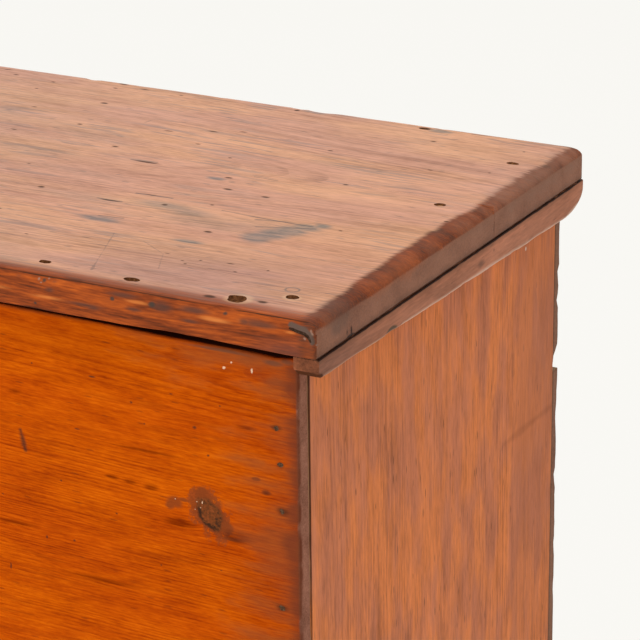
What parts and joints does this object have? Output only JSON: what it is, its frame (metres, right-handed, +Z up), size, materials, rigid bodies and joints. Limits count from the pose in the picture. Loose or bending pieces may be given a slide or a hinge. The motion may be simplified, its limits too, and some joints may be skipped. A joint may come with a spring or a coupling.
{
  "type": "mule chest",
  "caption": "Pine mule chest: hinged lift-lid well with clasping end cleats above long dovetailed drawers with turned knobs, on bootjack ends and a bracket-footed apron.",
  "frame": {"origin": "on the floor, under the middle of the whole chest from knob faces to hinge barrels", "axes": "+X along the length towards the end on the right as seen from the front, +Y towards the back, +Z up"},
  "size_m": [1.0564, 0.4684, 0.8753],
  "materials": {
    "lid_pine": "worn shellac over aged pine",
    "front_pine": "amber shellac over aged pine",
    "end_pine": "thin shellac over aged pine",
    "bare_pine": "unfinished, oxidised",
    "knob_wood": "turned, shellacked",
    "wrought_iron": "hand wrought, dark and lightly rusted"
  },
  "bodies": {
    "case": {"left_end": "end_pine", "right_end": "end_pine", "front_board": "front_pine", "front_apron": "front_pine", "drawer_rail": "front_pine", "drawer_sill": "bare_pine", "well_floor_front": "bare_pine", "well_floor_rear": "bare_pine", "back_board_top": "bare_pine", "back_board_middle": "bare_pine", "back_board_bottom": "bare_pine", "upper_runner_left": "bare_pine", "upper_runner_right": "bare_pine", "lower_runner_left": "bare_pine", "lower_runner_right": "bare_pine", "hinge_leaf_left": "wrought_iron", "hinge_leaf_right": "wrought_iron", "hinge_pin_left": "wrought_iron", "hinge_pin_right": "wrought_iron"},
    "lid": {"lid_front_board": "lid_pine", "lid_rear_board": "lid_pine", "cleat_left": "lid_pine", "cleat_right": "lid_pine", "hinge_strap_left": "wrought_iron", "hinge_strap_right": "wrought_iron"},
    "upper_drawer": {"upper_drawer_front": "front_pine", "upper_drawer_side_left": "bare_pine", "upper_drawer_side_right": "bare_pine", "upper_drawer_back": "bare_pine", "upper_drawer_bottom": "bare_pine", "upper_knob_left": "knob_wood", "upper_knob_right": "knob_wood"},
    "lower_drawer": {"lower_drawer_front": "front_pine", "lower_drawer_side_left": "bare_pine", "lower_drawer_side_right": "bare_pine", "lower_drawer_back": "bare_pine", "lower_drawer_bottom": "bare_pine", "lower_knob_left": "knob_wood", "lower_knob_right": "knob_wood"}
  },
  "joints": [
    {"name": "lid_hinge", "type": "hinge", "parent": "case", "child": "lid", "pos_m": [0, 0.22915, 0.845], "axis": [-1, 0, 0], "range_deg": [0, 100]},
    {"name": "upper_drawer_slide", "type": "slide", "parent": "case", "child": "upper_drawer", "axis": [0, -1, 0], "range_m": [0, 0.3]},
    {"name": "lower_drawer_slide", "type": "slide", "parent": "case", "child": "lower_drawer", "axis": [0, -1, 0], "range_m": [0, 0.3]}
  ]
}
